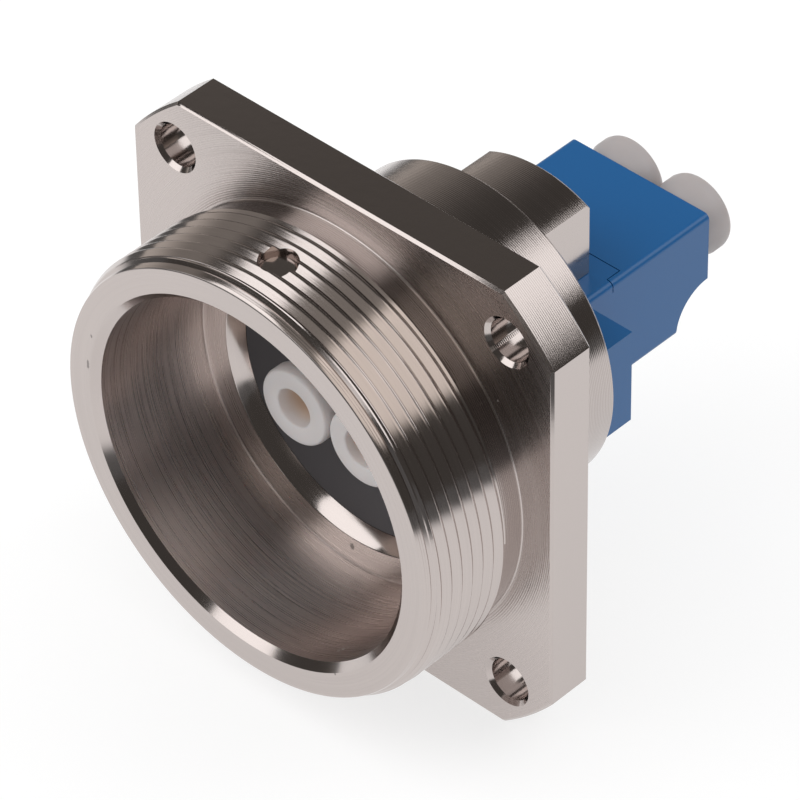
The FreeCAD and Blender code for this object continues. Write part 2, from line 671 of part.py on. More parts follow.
pieces = [make_shell(), make_key_pin(), make_face_seal(), make_adapter_body(), make_adapter_lid()]
for side_name, side_sign in SIDES:
    for end_name, end_sign in (("front", -1), ("rear", 1)):
        pieces.append(make_sleeve_holder(f"sleeve_holder_{side_name}_{end_name}", side_sign, end_sign))
        pieces.append(make_dust_cap(f"{end_name}_dust_cap_{side_name}", side_sign, end_sign))
    pieces.append(make_ferrule_sleeve(f"ferrule_sleeve_{side_name}", side_sign))
    pieces.append(make_clamp_screw(f"clamp_screw_{side_name}", side_sign))
doc.recompute()

# Nothing is written unless every object computed and every piece is one sound solid.
for thing in doc.Objects:
    if "Invalid" in thing.State or "Error" in thing.State:
        raise RuntimeError(f"{thing.Name} failed: {thing.State}")
for piece in pieces:
    if piece.Shape.isNull() or not piece.Shape.isValid() or len(piece.Shape.Solids) != 1:
        raise RuntimeError(f"{piece.Label} is not one valid solid")

os.makedirs("parts", exist_ok=True)
for piece in pieces:
    piece.Shape.exportStep(f"parts/{piece.Label}.step")
    box = piece.Shape.BoundBox
    print(f"{piece.Label}: {piece.Shape.Volume:.1f} mm3, X {box.XMin:.2f} to {box.XMax:.2f}, "
          f"Y {box.YMin:.2f} to {box.YMax:.2f}, Z {box.ZMin:.2f} to {box.ZMax:.2f}")
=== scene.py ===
# %% [markdown]
# # A square-flange receptacle with a duplex fibre adapter
# The real part is a turned and milled brass housing, plated with nickel. It is screwed to a panel,
# and it holds a blue moulded adapter with white dust caps. This lesson dresses its CAD model:
# the housing is turned again here so that it gets its fine thread, the caps are turned with soft
# edges, and each material gets the small marks that its making leaves.
#
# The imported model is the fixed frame. Its nodes already lie where they belong, in metres, with Y
# to the rear and Z up, so every new piece is made in the same place.

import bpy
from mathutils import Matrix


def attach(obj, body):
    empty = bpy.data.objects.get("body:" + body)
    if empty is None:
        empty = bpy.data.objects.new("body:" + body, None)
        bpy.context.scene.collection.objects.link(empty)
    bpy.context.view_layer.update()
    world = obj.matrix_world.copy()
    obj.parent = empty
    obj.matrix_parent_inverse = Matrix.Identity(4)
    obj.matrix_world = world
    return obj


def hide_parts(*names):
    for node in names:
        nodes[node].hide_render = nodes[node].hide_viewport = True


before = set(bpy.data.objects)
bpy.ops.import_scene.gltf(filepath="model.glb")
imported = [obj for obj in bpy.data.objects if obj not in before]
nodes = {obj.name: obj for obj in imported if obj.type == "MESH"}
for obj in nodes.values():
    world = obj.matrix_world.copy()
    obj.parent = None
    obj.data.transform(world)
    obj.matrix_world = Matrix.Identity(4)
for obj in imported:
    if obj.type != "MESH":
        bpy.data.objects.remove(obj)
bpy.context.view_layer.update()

# %% Names and units
import math

import bmesh
import bpy
from mathutils import Matrix, Vector

MM = 0.001
scene = bpy.context.scene
print(len(nodes), "nodes:", sorted(nodes))

# %% [markdown]
# ## The camera
# The photograph looks down at the front right corner through a long lens, so edges that run away
# from the viewer stay nearly parallel. The numbers were fitted to edges of the photograph: the
# direction to the camera as two angles, its distance, its roll and the length of the lens.

# %% Camera
AZIMUTH = math.radians(43.7795)
HEIGHT = math.radians(40.8326)
ROLL = math.radians(-0.97324)
DISTANCE = 395.738 * MM
AIM = Vector((5.4392, -3.7, 4.5746)) * MM

back = Vector((math.sin(AZIMUTH) * math.cos(HEIGHT), -math.cos(AZIMUTH) * math.cos(HEIGHT), math.sin(HEIGHT)))
right = Vector((math.cos(AZIMUTH), math.sin(AZIMUTH), 0))
up = back.cross(right)
rolled_right = math.cos(ROLL) * right + math.sin(ROLL) * up
rolled_up = math.cos(ROLL) * up - math.sin(ROLL) * right

lens = bpy.data.cameras.new("camera")
lens.sensor_width = 36
lens.lens = 268.97
lens.clip_start = 0.01
camera = bpy.data.objects.new("camera", lens)
scene.collection.objects.link(camera)
camera.matrix_world = Matrix.Translation(AIM + DISTANCE * back) @ Matrix(
    (rolled_right, rolled_up, back)).transposed().to_4x4()
scene.camera = camera
scene.view_settings.view_transform = "Standard"
print("camera at", [round(c, 4) for c in camera.matrix_world.translation])

# %% [markdown]
# ## A shop for small parts
# Most of the metal was turned on a lathe, so most pieces here are spun from half a section too.
# The bench holds three tools: one spins a section, one joins or cuts two meshes, and one shades
# curved faces smooth while it keeps the sharp edges sharp.

# %% Tools of the bench
def new_piece(name, bm):
    """An object at the origin with the bmesh as its mesh."""
    mesh = bpy.data.meshes.new(name)
    bm.to_mesh(mesh)
    bm.free()
    piece = bpy.data.objects.new(name, mesh)
    scene.collection.objects.link(piece)
    return piece


def spun(section, steps=256, closed=True):
    """A bmesh turned round the Y axis from a section of (radius, y) in millimetres."""
    bm = bmesh.new()
    points = [bm.verts.new((radius * MM, y * MM, 0)) for radius, y in section]
    pairs = list(zip(points, points[1:]))
    if closed:
        pairs.append((points[-1], points[0]))
    edges = [bm.edges.new(pair) for pair in pairs]
    bmesh.ops.spin(bm, geom=points + edges, cent=(0, 0, 0), axis=(0, 1, 0), angle=2 * math.pi,
                   steps=steps, use_merge=True)
    bmesh.ops.remove_doubles(bm, verts=bm.verts, dist=1e-7)
    bmesh.ops.recalc_face_normals(bm, faces=bm.faces)
    return bm


def close_pinholes(piece):
    """Fills the small triangles that a Boolean may leave open, because the next one needs a closed mesh."""
    bm = bmesh.new()
    bm.from_mesh(piece.data)
    bmesh.ops.holes_fill(bm, edges=[e for e in bm.edges if e.is_boundary], sides=0)
    bm.to_mesh(piece.data)
    bm.free()


def combine(piece, other, operation):
    """Joins other to piece, cuts it away, or keeps what both share; other is used up."""
    step = piece.modifiers.new(operation, "BOOLEAN")
    step.operation, step.object, step.solver = operation, other, "EXACT"
    bpy.context.view_layer.update()
    made = bpy.data.meshes.new_from_object(piece.evaluated_get(bpy.context.evaluated_depsgraph_get()))
    piece.modifiers.clear()
    piece.data = made
    bpy.data.objects.remove(other)
    close_pinholes(piece)


def shade(piece, angle=28):
    """Faces smooth, and sharp edges where they meet at more than the angle."""
    bm = bmesh.new()
    bm.from_mesh(piece.data)
    for face in bm.faces:
        face.smooth = True
    for edge in bm.edges:
        edge.smooth = edge.is_manifold and edge.calc_face_angle() < math.radians(angle)
    bm.to_mesh(piece.data)
    bm.free()


def block(low, high):
    """A plain box between two corners in millimetres."""
    bm = bmesh.new()
    bmesh.ops.create_cube(bm, size=1)
    size = Vector(high) - Vector(low)
    bmesh.ops.scale(bm, vec=size * MM, verts=bm.verts)
    bmesh.ops.translate(bm, vec=(Vector(high) + Vector(low)) / 2 * MM, verts=bm.verts)
    return new_piece("block", bm)


def moved(bm, place):
    bmesh.ops.translate(bm, vec=Vector(place) * MM, verts=bm.verts)
    return bm


# %% [markdown]
# ## The housing
# The housing is one piece of brass. On the lathe it gets its barrel, the seat for the seal and the
# collar that drops into the panel. The mill then squares the flange, cuts two flats that leave the
# rear tabs, and opens a window for the adapter. The same order is used here.

# %% Turn the housing
FLANGE_FRONT, FLANGE_EDGE = -3.7, 0.19
RIM = -13.2
ROOT_RADIUS = 16.66
COLLAR_REAR = 10.1
TAB_REAR = 16.2
tool_marks = [(radius, RIM + start + step) for start in (0.2, 0.4, 0.6)
              for radius, step in ((16.45, 0), (16.39, 0.07))]
turned_section = [
    (0, -0.3), (10.9, -0.3), (10.9, -1.75), (11.61, -2.86), (11.67, -2.9), (11.74, -2.9), (13.68, -2.9),
    (13.75, -2.9), (13.85, -2.94), (13.9, -3.05), (13.9, -3.2), (13.9, -12.65), (14.45, RIM), (16.2, RIM),
    (16.28, RIM), (16.36, RIM + 0.03), (16.4, RIM + 0.1), *tool_marks, (ROOT_RADIUS, -12.36),
    (ROOT_RADIUS, -5.7), (16.4, -5.44), (16.4, -5.35), (16.4, -3.95), (16.4, -3.86), (16.42, -3.78),
    (16.48, -3.72), (16.56, FLANGE_FRONT), (16.65, FLANGE_FRONT), (24 - FLANGE_EDGE, FLANGE_FRONT),
    (24, FLANGE_FRONT + FLANGE_EDGE), (24, -FLANGE_EDGE), (24 - FLANGE_EDGE, 0), (12.4, 0),
    (12.4, COLLAR_REAR - 0.3), (12.1, COLLAR_REAR), (9.85, COLLAR_REAR), (9.85, TAB_REAR - 0.3),
    (9.55, TAB_REAR), (0, TAB_REAR),
]
housing = new_piece("turned_housing", spun(turned_section, closed=False))
print("turned:", len(housing.data.polygons), "faces")

# %% [markdown]
# ## The thread
# The barrel carries a fine, shallow thread with a pitch of one millimetre. It is wound as a ridge
# on the plain barrel: a broad land rises to a round crest and a steeper flank drops behind it. A
# spin that also moves along the axis winds the ridge, and turned cones trim its two ends.

# %% Wind the thread
PITCH = 1.0
CREST_RADIUS = 17.0
STEPS_A_TURN = 144
TURNS = 8
drops = [
    (-0.62, 0.36), (-0.59, 0.285), (-0.50, 0.24), (-0.38, 0.18), (-0.26, 0.12), (-0.16, 0.07),
    (-0.09, 0.033), (-0.03, 0.008), (0.02, 0.0), (0.07, 0.012), (0.12, 0.05), (0.17, 0.11), (0.25, 0.23),
    (0.30, 0.31), (0.34, 0.36),
]
ridge = [(CREST_RADIUS - drop, y) for y, drop in drops]
ridge = [(ROOT_RADIUS - 0.2, drops[0][0])] + ridge + [(ROOT_RADIUS - 0.2, drops[-1][0])]
bm = bmesh.new()
first_crest = -13.25
points = [bm.verts.new((radius * MM, (first_crest + y) * MM, 0)) for radius, y in ridge]
edges = [bm.edges.new(pair) for pair in zip(points, points[1:] + points[:1])]
bmesh.ops.spin(bm, geom=points + edges, cent=(0, 0, 0), axis=(0, 1, 0), angle=2 * math.pi * TURNS,
               dvec=(0, PITCH / STEPS_A_TURN * MM, 0), steps=STEPS_A_TURN * TURNS)
bmesh.ops.holes_fill(bm, edges=[e for e in bm.edges if e.is_boundary], sides=0)
bmesh.ops.recalc_face_normals(bm, faces=bm.faces)
thread = new_piece("thread", bm)
envelope = [(15.9, -13.0), (CREST_RADIUS + 0.1, -11.8), (CREST_RADIUS + 0.1, -6.1), (15.9, -4.9)]
combine(thread, new_piece("envelope", spun(envelope, steps=288)), "INTERSECT")
combine(housing, thread, "UNION")
print("threaded:", len(housing.data.polygons), "faces")

# %% [markdown]
# Everything that is drilled or milled comes off in one cut: four flange holes with broken front
# edges, the flats beside the tabs, the window, two screw holes with pockets and the hole for the key.

# %% Drill and mill
def joined(name, pieces):
    """One mesh from several that don't touch each other."""
    bm = bmesh.new()
    for piece in pieces:
        bm.from_mesh(piece.data)
        bpy.data.objects.remove(piece)
    return new_piece(name, bm)


SCREW_OUT, SCREW_HEIGHT = 8.7, -1.725
KEY_PLACE = -9.2

tools = [block((-6.45, -1, -6.25), (6.45, 17, 2.8))]
for side in (-1, 1):
    tools.append(block((min(4.45 * side, 14 * side), COLLAR_REAR, -14),
                       (max(4.45 * side, 14 * side), 17, 14)))
combine(housing, joined("cutters", tools[1:]), "DIFFERENCE")
combine(housing, tools[0], "DIFFERENCE")
drills = []
for x in (-15, 15):
    for z in (-15, 15):
        drill = spun([(0, -4.2), (2.45, -4.2), (1.65, -3.4), (1.65, 1), (0, 1)], steps=72, closed=False)
        drills.append(new_piece("drill", moved(drill, (x, 0, z))))
for x in (-SCREW_OUT, SCREW_OUT):
    drill = spun([(0, -0.8), (2.1, -0.8), (2.1, 1.3), (1.15, 1.3), (1.15, 11), (0, 11)], steps=48, closed=False)
    drills.append(new_piece("drill", moved(drill, (x, 0, SCREW_HEIGHT))))
key_drill = spun([(0, 10), (1.42, 10), (1.42, 18), (0, 18)], steps=48, closed=False)
bmesh.ops.rotate(key_drill, matrix=Matrix.Rotation(math.radians(90), 3, "X"), verts=key_drill.verts)
drills.append(new_piece("drill", moved(key_drill, (0, KEY_PLACE, 0))))
combine(housing, joined("drills", drills), "DIFFERENCE")
print("milled:", len(housing.data.polygons), "faces")

# %% [markdown]
# The flange left the lathe as a disc. Four straight cuts make it square, so its corners keep the
# turned circle. The cutter's section is wider at both faces, which breaks the new edges as well.

# %% Mill the flange
def side_cutter(turn):
    """A long bar outside one side of the square; turn is the angle of that side round Y."""
    over = 0.6
    inner = 19 - FLANGE_EDGE - over
    section = [
        (inner, FLANGE_FRONT - over), (32, FLANGE_FRONT - over), (32, over), (inner, over),
        (19, -FLANGE_EDGE), (19, FLANGE_FRONT + FLANGE_EDGE),
    ]
    bm = bmesh.new()
    face = bm.faces.new([bm.verts.new((x * MM, y * MM, -32 * MM)) for x, y in section])
    grown = bmesh.ops.extrude_face_region(bm, geom=[face])
    ends = [v for v in grown["geom"] if isinstance(v, bmesh.types.BMVert)]
    bmesh.ops.translate(bm, vec=(0, 0, 64 * MM), verts=ends)
    bmesh.ops.rotate(bm, matrix=Matrix.Rotation(math.radians(turn), 3, "Y"), verts=bm.verts)
    bmesh.ops.recalc_face_normals(bm, faces=bm.faces)
    return new_piece("side_cutter", bm)


for turn in (0, 90):
    combine(housing, joined("side_cutters", [side_cutter(turn), side_cutter(turn + 180)]), "DIFFERENCE")
housing.name = housing.data.name = "threaded_housing"
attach(housing, "housing")
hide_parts("shell")
shade(housing)
print("with its square flange:", len(housing.data.polygons), "faces")

# %% [markdown]
# Five finishes share the plating. The mill and the drill leave plain faces, facing cuts leave faint rings, outer
# cylinders show the feed of the tool as fine lines, the bore was turned more roughly, and the thread, the throat and
# the rim were cut smooth. The feed lines of the outer cylinders and of the bore carry painted shade in their grooves,
# and the faced and the bored copies of the nickel are painted brighter as painted light, the bore most. A face was
# turned if its normal has no part that runs round the axis, tested at every corner of the face.

# %% Sort the faces by their finish
MILLED, FACED, BORED, RINGED, THREADED = range(5)
counts = [0] * 5
for face in housing.data.polygons:
    corners = [housing.data.vertices[i].co / MM for i in face.vertices]
    round_part = max(abs(face.normal.x * c.z - face.normal.z * c.x) / max(math.hypot(c.x, c.z), 1e-6)
                     for c in corners)
    radius = math.hypot(face.center.x, face.center.z) / MM
    in_bore = max(math.hypot(c.x, c.z) for c in corners) < 14.0 and max(c.y for c in corners) < -2.8
    on_thread = radius > 13.9 and face.center.y < -5.45 * MM
    in_throat = 10.8 < radius < 11.72 and -2.95 * MM < face.center.y < -0.5 * MM
    if in_throat or (on_thread and round_part < 0.35):
        face.material_index = THREADED
    elif round_part > 0.06 or (radius < 10.8 and face.center.y < 0 and not in_bore):
        face.material_index = MILLED
    elif in_bore:
        face.material_index = BORED
    else:
        face.material_index = RINGED if abs(face.normal.y) < 0.2 and radius > 9 else FACED
    counts[face.material_index] += 1
print("milled, faced, bored, ringed and threaded faces:", counts)

# %% [markdown]
# ## The dust caps
# Four soft caps close the four ports. Each one is a small turned shape: a head with a blind hole, a
# tapered back and a hollow neck that goes over the sleeve holder. Its edges come out of a mould, so
# a bevel with three segments rounds them.

# %% Turn the caps
CAP_LENGTH = 10.0
cap_section = [
    (0, 3.4), (1.25, 3.4), (1.48, 0), (2.9, 0), (3.0, 0.35), (3.0, 1.15), (2.4, 2.8), (2.2, 2.8), (2.2, 9.7),
    (1.9, CAP_LENGTH), (1.4, CAP_LENGTH), (1.4, 4.4), (0, 4.4),
]
cap_places = {
    "front_dust_cap_left": (-3.125, -5.15, 1), "front_dust_cap_right": (3.125, -5.15, 1),
    "rear_dust_cap_left": (-3.125, 29.35, -1), "rear_dust_cap_right": (3.125, 29.35, -1),
}
caps = {}
for name, (x, face_y, way) in cap_places.items():
    bm = spun(cap_section, steps=72, closed=False)
    rounded = [e for e in bm.edges if e.is_manifold and e.calc_face_angle() > math.radians(25)]
    bmesh.ops.bevel(bm, geom=rounded, offset=0.14 * MM, offset_type="OFFSET", affect="EDGES", segments=3,
                    profile=0.5, material=-1)
    if way < 0:
        bmesh.ops.rotate(bm, matrix=Matrix.Rotation(math.pi, 3, "Z"), verts=bm.verts)
    cap = new_piece(name.replace("dust_cap", "soft_cap"), moved(bm, (x, face_y, -0.25)))
    shade(cap, angle=40)
    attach(cap, name.replace("dust_cap", "cap"))
    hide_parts(name)
    caps[name] = cap
print("caps:", len(caps), "with", len(cap.data.polygons), "faces each")

# %% [markdown]
# ## The light
# Plated metal is all reflection, so the light is built like a small product studio: a white table,
# a large softbox at the front left, another at the rear right, a low white card in front, and a
# dark tent round them that only reflections see. The tent gives the plating its dark flats.

# %% Floor
bm = bmesh.new()
bmesh.ops.create_circle(bm, cap_ends=True, segments=96, radius=0.9)
bmesh.ops.translate(bm, vec=(0, 0, -19 * MM), verts=bm.verts)
floor = new_piece("floor", bm)

# %% Softboxes
def toward(azimuth, height):
    """The direction at an azimuth from the rear, turning right, and a height above the table."""
    a, h = math.radians(azimuth), math.radians(height)
    return Vector((math.sin(a) * math.cos(h), math.cos(a) * math.cos(h), math.sin(h)))


def softbox(name, azimuth, height, wide, tall, brightness, shape="RECTANGLE", away=1.0):
    """A lamp that faces the part from so many metres away; wide and tall are angles."""
    lamp = bpy.data.lights.new(name, "AREA")
    lamp.shape = shape
    lamp.size = 2 * away * math.tan(math.radians(wide) / 2)
    lamp.size_y = 2 * away * math.tan(math.radians(tall) / 2)
    share = math.pi / 4 if shape == "ELLIPSE" else 1
    lamp.energy = brightness * math.pi * lamp.size * lamp.size_y * share
    box = bpy.data.objects.new(name, lamp)
    scene.collection.objects.link(box)
    place = toward(azimuth, height) * away
    box.matrix_world = Matrix.Translation(place) @ place.to_track_quat("Z", "Y").to_matrix().to_4x4()
    box.visible_camera = False
    print(name, round(lamp.energy, 2), "W")
    return box


softbox("front_softbox", -140, 45, 48, 48, 1.65, shape="ELLIPSE", away=0.3)
softbox("rear_softbox", 37, 39, 34, 34, 1.5)
softbox("front_card", -179, 4, 16, 15, 1.0)

# %% [markdown]
# ## Materials from nodes
# Every finish is a Principled shader with a few nodes in front of it. A small helper adds a node,
# sets its values and links its inputs, so that each material reads as a list of steps.

# %% A helper for nodes
def add(tree, kind, settings=None, **inputs):
    """A new node; settings are its own options, and an input takes a value or another output."""
    node = tree.nodes.new(kind)
    for name, value in (settings or {}).items():
        setattr(node, name, value)
    for name, value in inputs.items():
        socket = node.inputs[int(name[1:])] if name[1:].isdigit() else node.inputs[name.replace("_", " ")]
        if isinstance(value, bpy.types.NodeSocket):
            tree.links.new(value, socket)
        else:
            socket.default_value = value
    return node


def maths(tree, operation, first, second=0.0, third=0.0):
    return add(tree, "ShaderNodeMath", {"operation": operation}, i0=first, i1=second, i2=third).outputs[0]


def fade(tree, value, low, high, start, end):
    """Goes smoothly from start to end while the value goes from low to high."""
    return add(tree, "ShaderNodeMapRange", {"interpolation_type": "SMOOTHSTEP"}, Value=value, From_Min=low,
               From_Max=high, To_Min=start, To_Max=end).outputs[0]


def new_material(name, colour, roughness, metallic=0.0):
    """A material with its Principled shader, ready for more nodes."""
    made = bpy.data.materials.new(name)
    made.use_nodes = True
    shader = made.node_tree.nodes["Principled BSDF"]
    shader.inputs["Base Color"].default_value = (*colour, 1)
    shader.inputs["Roughness"].default_value = roughness
    shader.inputs["Metallic"].default_value = metallic
    return made, made.node_tree, shader


# %% [markdown]
# The table is white to the camera and, near the part, to every mirror, and it still takes a soft shadow from the part:
# most of its white comes from a glow, which gives the part only a weaker light, and the rest from the lamps. For every
# ray but the camera's it is painted dark beyond 0.11 to 0.17 m from the part and in front of it, except a painted
# bright wedge toward the front left.

# %% Table, tent and sky
glow, tree, shader = new_material("white_table", (0.42, 0.42, 0.42), 0.9)
shader.inputs["Specular IOR Level"].default_value = 0.0
path = add(tree, "ShaderNodeLightPath")
seen = maths(tree, "MAXIMUM", maths(tree, "MAXIMUM", path.outputs["Is Camera Ray"], path.outputs["Is Glossy Ray"]),
             path.outputs["Is Transmission Ray"])
place = add(tree, "ShaderNodeTexCoord").outputs["Object"]
distance = add(tree, "ShaderNodeVectorMath", {"operation": "LENGTH"}, i0=place).outputs["Value"]
# Painted shade and light for every ray but the camera's: glow and grey fade dark away from the part and in front of it,
# and a narrow wedge toward the front left stays bright.
painted_table_light_and_shade = add(tree, "ShaderNodeMapRange", {"interpolation_type": "SMOOTHSTEP"}, Value=distance, From_Min=0.11,
            From_Max=0.17, To_Min=1, To_Max=0.12).outputs[0]
painted_front_shade = fade(tree, add(tree, "ShaderNodeSeparateXYZ", Vector=place).outputs[1], -66 * MM, -50 * MM, 0.12, 1)
painted_bright_wedge = add(tree, "ShaderNodeVectorMath", {"operation": "DOT_PRODUCT"}, i0=place, i1=toward(-150, 0))
painted_bright_wedge = maths(tree, "DIVIDE", painted_bright_wedge.outputs["Value"], distance)
painted_bright_wedge = maths(tree, "MULTIPLY", fade(tree, painted_bright_wedge, 0.93, 0.98, 0, 0.85), fade(tree, distance, 0.1, 0.16, 0, 1))
painted_table_light_and_shade = maths(tree, "MAXIMUM", maths(tree, "MINIMUM", painted_table_light_and_shade, painted_front_shade), painted_bright_wedge)
painted_table_light_and_shade = maths(tree, "MAXIMUM", painted_table_light_and_shade, path.outputs["Is Camera Ray"])
tree.links.new(maths(tree, "MULTIPLY", maths(tree, "MULTIPLY_ADD", seen, 0.42, 0.3), painted_table_light_and_shade),
               shader.inputs["Emission Strength"])
grey = maths(tree, "MULTIPLY", painted_table_light_and_shade, 0.32)
tree.links.new(add(tree, "ShaderNodeCombineColor", Red=grey, Green=grey, Blue=grey).outputs[0],
               shader.inputs["Base Color"])
shader.inputs["Emission Color"].default_value = (1, 1, 1, 1)
floor.data.materials.append(glow)

world = bpy.data.worlds.new("soft_sky")
world.use_nodes = True
scene.world = world
tree = world.node_tree
sky = tree.nodes["Background"]
path = add(tree, "ShaderNodeLightPath")
seen = maths(tree, "MAXIMUM", maths(tree, "MAXIMUM", path.outputs["Is Camera Ray"], path.outputs["Is Glossy Ray"]),
             path.outputs["Is Transmission Ray"])
tree.links.new(maths(tree, "MULTIPLY_ADD", seen, 0.25, 0.75), sky.inputs["Strength"])
sky.inputs["Color"].default_value = (1, 1, 1, 1)

bm = bmesh.new()
bmesh.ops.create_uvsphere(bm, u_segments=48, v_segments=24, radius=1.6)
tent = new_piece("dark_tent", bm)
for sight in ("camera", "diffuse", "transmission", "volume_scatter", "shadow"):
    setattr(tent, f"visible_{sight}", False)
cloth = bpy.data.materials.new("tent_cloth")
cloth.use_nodes = True
tree = cloth.node_tree
tree.nodes.remove(tree.nodes["Principled BSDF"])
place = add(tree, "ShaderNodeSeparateXYZ", Vector=add(tree, "ShaderNodeTexCoord").outputs["Object"])
x, y, z = (maths(tree, "DIVIDE", place.outputs[i], 1.6) for i in range(3))

left_wall = maths(tree, "MULTIPLY", fade(tree, x, -0.1, -0.5, 0, 1), fade(tree, z, 0.0, 0.35, 0.55, 0.19))
left_wall = maths(tree, "MULTIPLY", left_wall, fade(tree, z, 0.5, 0.65, 1, 0.1))
left_wall = maths(tree, "MULTIPLY", left_wall, fade(tree, y, -0.35, -0.15, 0, 1))
front_wall = maths(tree, "MULTIPLY", fade(tree, y, -0.1, -0.3, 0, 1), fade(tree, z, 0.87, 0.93, 0, 0.22))
spot = toward(100, 54)
facing = add(tree, "ShaderNodeVectorMath", {"operation": "DOT_PRODUCT"},
             i0=add(tree, "ShaderNodeCombineXYZ", X=x, Y=y, Z=z).outputs[0], i1=spot).outputs["Value"]
camera_side = fade(tree, facing, math.cos(math.radians(28)), math.cos(math.radians(23)), 0, 1.0)
brightness = maths(tree, "ADD", maths(tree, "ADD", left_wall, front_wall), maths(tree, "ADD", camera_side, 0.07))
tint = add(tree, "ShaderNodeEmission", Color=(1, 0.93, 0.86, 1), Strength=brightness)
tree.links.new(tint.outputs[0], tree.nodes["Material Output"].inputs["Surface"])
tent.data.materials.append(cloth)

# %% [markdown]
# ## Nickel plate
# The plating is thin and bright, so it keeps the fine rings that the lathe left in the brass. The
# rings follow the tool: along the axis on a cylinder and along the radius on a flat face. One
# number, the distance along the axis plus the radius, grows along both, so noise on that number
# draws rings on every turned face.

# The rings also spread a reflection across themselves, so the turned finishes are anisotropic, with
# a direction that is worked out from the place and runs round the axis.

# %% Nickel
NICKEL = (0.53, 0.475, 0.455)
FEED = 0.16


def spots(tree, place, marks):
    """One inside any of the marks, zero elsewhere; a mark is a centre and its half sizes in mm."""
    ragged = add(tree, "ShaderNodeTexNoise", Vector=place, Scale=9 / MM, Detail=2.0).outputs["Fac"]
    total = 0.0
    for centre, half in marks:
        offset = add(tree, "ShaderNodeVectorMath", {"operation": "SUBTRACT"}, i0=place, i1=Vector(centre) * MM)
        scaled = add(tree, "ShaderNodeVectorMath", {"operation": "DIVIDE"}, i0=offset.outputs[0], i1=Vector(half) * MM)
        length = add(tree, "ShaderNodeVectorMath", {"operation": "LENGTH"}, i0=scaled.outputs[0]).outputs["Value"]
        length = maths(tree, "MULTIPLY_ADD", ragged, 1.2, maths(tree, "SUBTRACT", length, 0.6))
        total = maths(tree, "MAXIMUM", fade(tree, length, 0.6, 1.0, 1, 0), total)
    return total


def turned_finish(name, roughness, stretch, feed_depth, feed_groove_shade, streak_depth, tone, dents, chips, painted_light_gain=1.0):
    """Nickel over lathe rings round the Y axis, with dark dents and pale, dull chips; a gain above one paints the
    colour brighter as painted light, and painted shade darkens the colour in the feed grooves.
    """
    # Painted light: a gain above one makes this copy of the nickel brighter than the plating.
    metal = [painted_light_gain * c for c in NICKEL]
    made, tree, shader = new_material(name, metal, roughness, metallic=1.0)
    place = add(tree, "ShaderNodeTexCoord").outputs["Object"]
    round_way = add(tree, "ShaderNodeVectorMath", {"operation": "CROSS_PRODUCT"}, i0=place, i1=(0, 1, 0))
    tree.links.new(add(tree, "ShaderNodeVectorMath", {"operation": "NORMALIZE"}, i0=round_way.outputs[0]).outputs[0],
                   shader.inputs["Tangent"])
    shader.inputs["Anisotropic"].default_value = stretch
    shader.inputs["Anisotropic Rotation"].default_value = 0.25
    parts = add(tree, "ShaderNodeSeparateXYZ", Vector=place)
    radius = maths(tree, "SQRT", maths(tree, "ADD", maths(tree, "MULTIPLY", parts.outputs[0], parts.outputs[0]),
                                       maths(tree, "MULTIPLY", parts.outputs[2], parts.outputs[2])))
    along = maths(tree, "ADD", parts.outputs[1], radius)
    feed = maths(tree, "SINE", maths(tree, "MULTIPLY", along, 2 * math.pi / (FEED * MM)))
    over = [maths(tree, "MULTIPLY", maths(tree, "DIVIDE", parts.outputs[i], radius), 0.8) for i in (0, 2)]
    spot = add(tree, "ShaderNodeCombineXYZ", X=maths(tree, "MULTIPLY", along, 11.0 / MM), Y=over[0], Z=over[1])
    streaks = add(tree, "ShaderNodeTexNoise", Vector=spot.outputs[0], Scale=1.0, Detail=2.0,
                  Roughness=0.6).outputs["Fac"]
    height = maths(tree, "MULTIPLY_ADD", feed, feed_depth / 2, maths(tree, "MULTIPLY", streaks, streak_depth))
    shading = add(tree, "ShaderNodeMix", {"data_type": "RGBA"}, i0=fade(tree, streaks, 0.35, 0.65, 0, 1),
                  i6=tuple((1 - tone) * c for c in metal) + (1,), i7=tuple((1 + tone) * c for c in metal) + (1,))
    # Painted shade: the colour is darker in the grooves of the feed lines, where the bump is lowest.
    darker = maths(tree, "MULTIPLY_ADD", feed, feed_groove_shade / 2, 1 - feed_groove_shade / 2)
    shading = add(tree, "ShaderNodeMix", {"data_type": "RGBA", "blend_type": "MULTIPLY"}, i0=1.0,
                  i6=shading.outputs[2], i7=add(tree, "ShaderNodeCombineColor", Red=darker, Green=darker,
                                                Blue=darker).outputs[0])
    dented, chipped = spots(tree, place, dents), spots(tree, place, chips)
    for marked, colour in ((dented, (0.26, 0.235, 0.225, 1)), (chipped, (0.8, 0.76, 0.74, 1))):
        shading = add(tree, "ShaderNodeMix", {"data_type": "RGBA"}, i0=marked, i6=shading.outputs[2], i7=colour)
    tree.links.new(shading.outputs[2], shader.inputs["Base Color"])
    bump = add(tree, "ShaderNodeBump", Height=height, Strength=1.0, Distance=MM)
    tree.links.new(bump.outputs[0], shader.inputs["Normal"])
    dull = fade(tree, streaks, 0.3, 0.7, roughness * 0.85, roughness * 1.2)
    tree.links.new(maths(tree, "MAXIMUM", dull, maths(tree, "MULTIPLY", chipped, 0.7)), shader.inputs["Roughness"])
    return made


